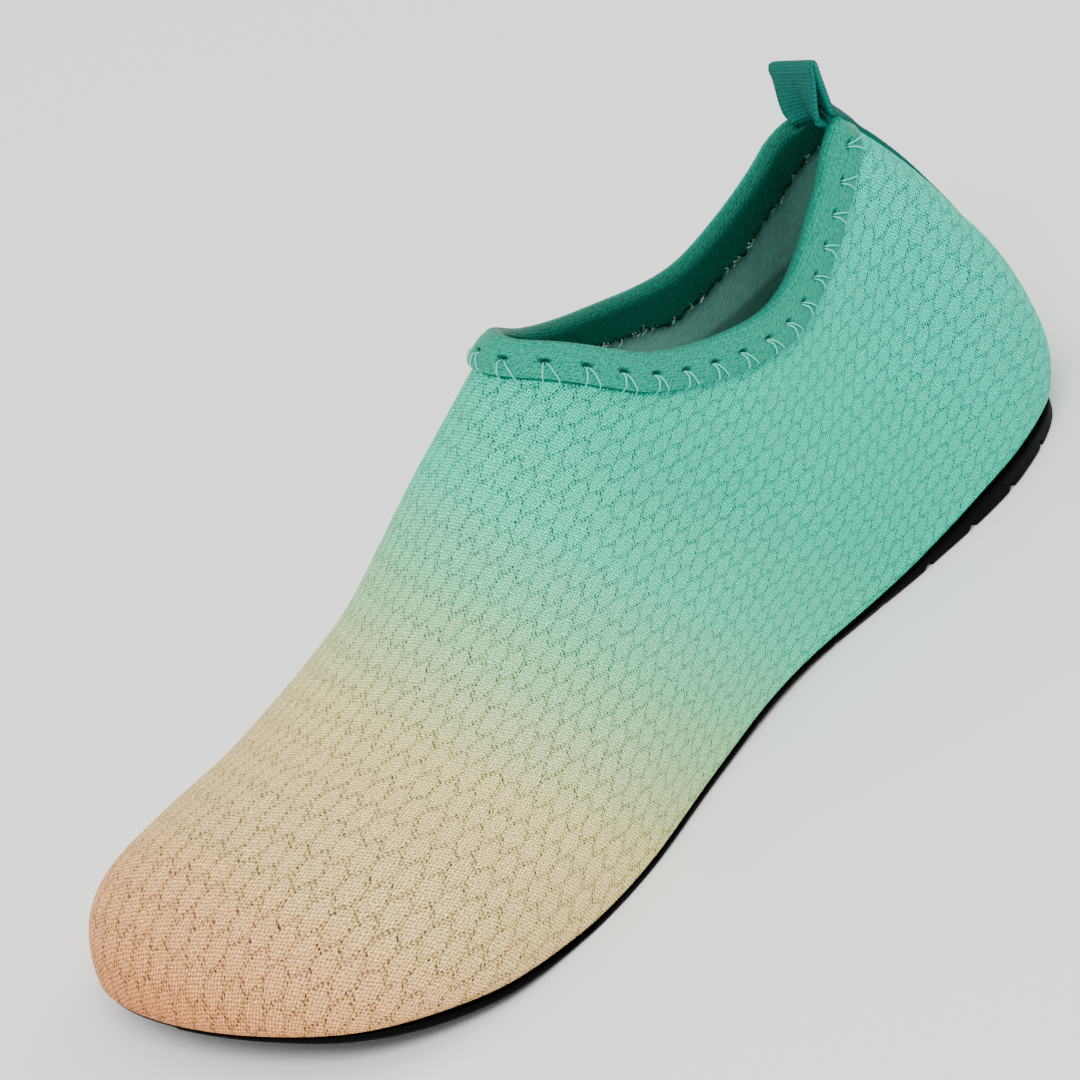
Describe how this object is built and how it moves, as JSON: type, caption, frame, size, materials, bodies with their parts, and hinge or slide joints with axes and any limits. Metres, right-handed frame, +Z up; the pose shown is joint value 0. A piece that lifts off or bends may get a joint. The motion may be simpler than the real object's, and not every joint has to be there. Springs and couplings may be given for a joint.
{
  "type": "water shoe",
  "caption": "Slip-on left water shoe: stretch knit sock upper with a bound collar, webbing pull loop at the heel, foam insole and thin rubber outsole with tread.",
  "frame": {"origin": "on the floor, under the middle of the shoe's box", "axes": "+Z up, -Y towards the toe, +Y towards the heel, +X towards the outer side of this left shoe"},
  "size_m": [0.0936, 0.2538, 0.09],
  "materials": {
    "outsole_rubber": "matte black moulded rubber",
    "knit": "soft knit, peach at the toe to turquoise at the heel",
    "foam": "grey-green fabric-covered foam",
    "satin_binding": "satiny turquoise folded band",
    "webbing": "ribbed dark teal webbing"
  },
  "bodies": {
    "root": {"outsole": "outsole_rubber", "upper": "knit", "insole": "foam", "collar_binding": "satin_binding", "pull_loop": "webbing"}
  },
  "joints": []
}
